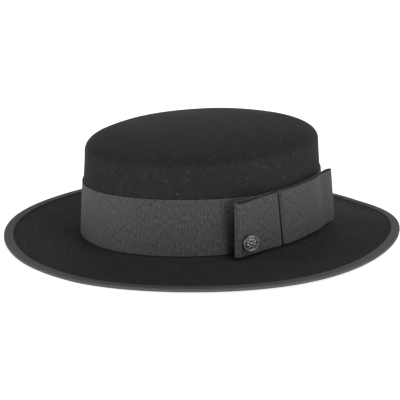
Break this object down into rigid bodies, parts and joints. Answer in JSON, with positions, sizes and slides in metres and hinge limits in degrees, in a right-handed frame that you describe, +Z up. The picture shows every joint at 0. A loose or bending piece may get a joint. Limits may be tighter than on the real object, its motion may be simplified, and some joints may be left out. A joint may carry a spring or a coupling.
{
  "type": "felt boater hat",
  "caption": "Felt boater hat with a low, nearly flat-topped oval crown, a level bound brim, a wide ribbon band and a side bow with a small round pin.",
  "frame": {"origin": "on the surface that the brim rests on, under the middle of the brim's outline", "axes": "+Z up through the crown, -Y towards the front of the hat, +X towards the wearer's left, where the bow is"},
  "size_m": [0.3008, 0.322, 0.0898],
  "materials": {
    "felt": "brushed wool felt, near black, faint nap and lint",
    "edging": "fine cross-ribbed grosgrain, dark grey",
    "ribbon": "cross-ribbed grosgrain, dark grey, soft sheen",
    "pin_metal": "dark pewter with a bright raised rim"
  },
  "bodies": {
    "root": {"felt_body": "felt", "brim_binding": "edging", "hat_band": "ribbon", "bow_front_loop": "ribbon", "bow_rear_loop": "ribbon", "pin": "pin_metal"}
  },
  "joints": []
}
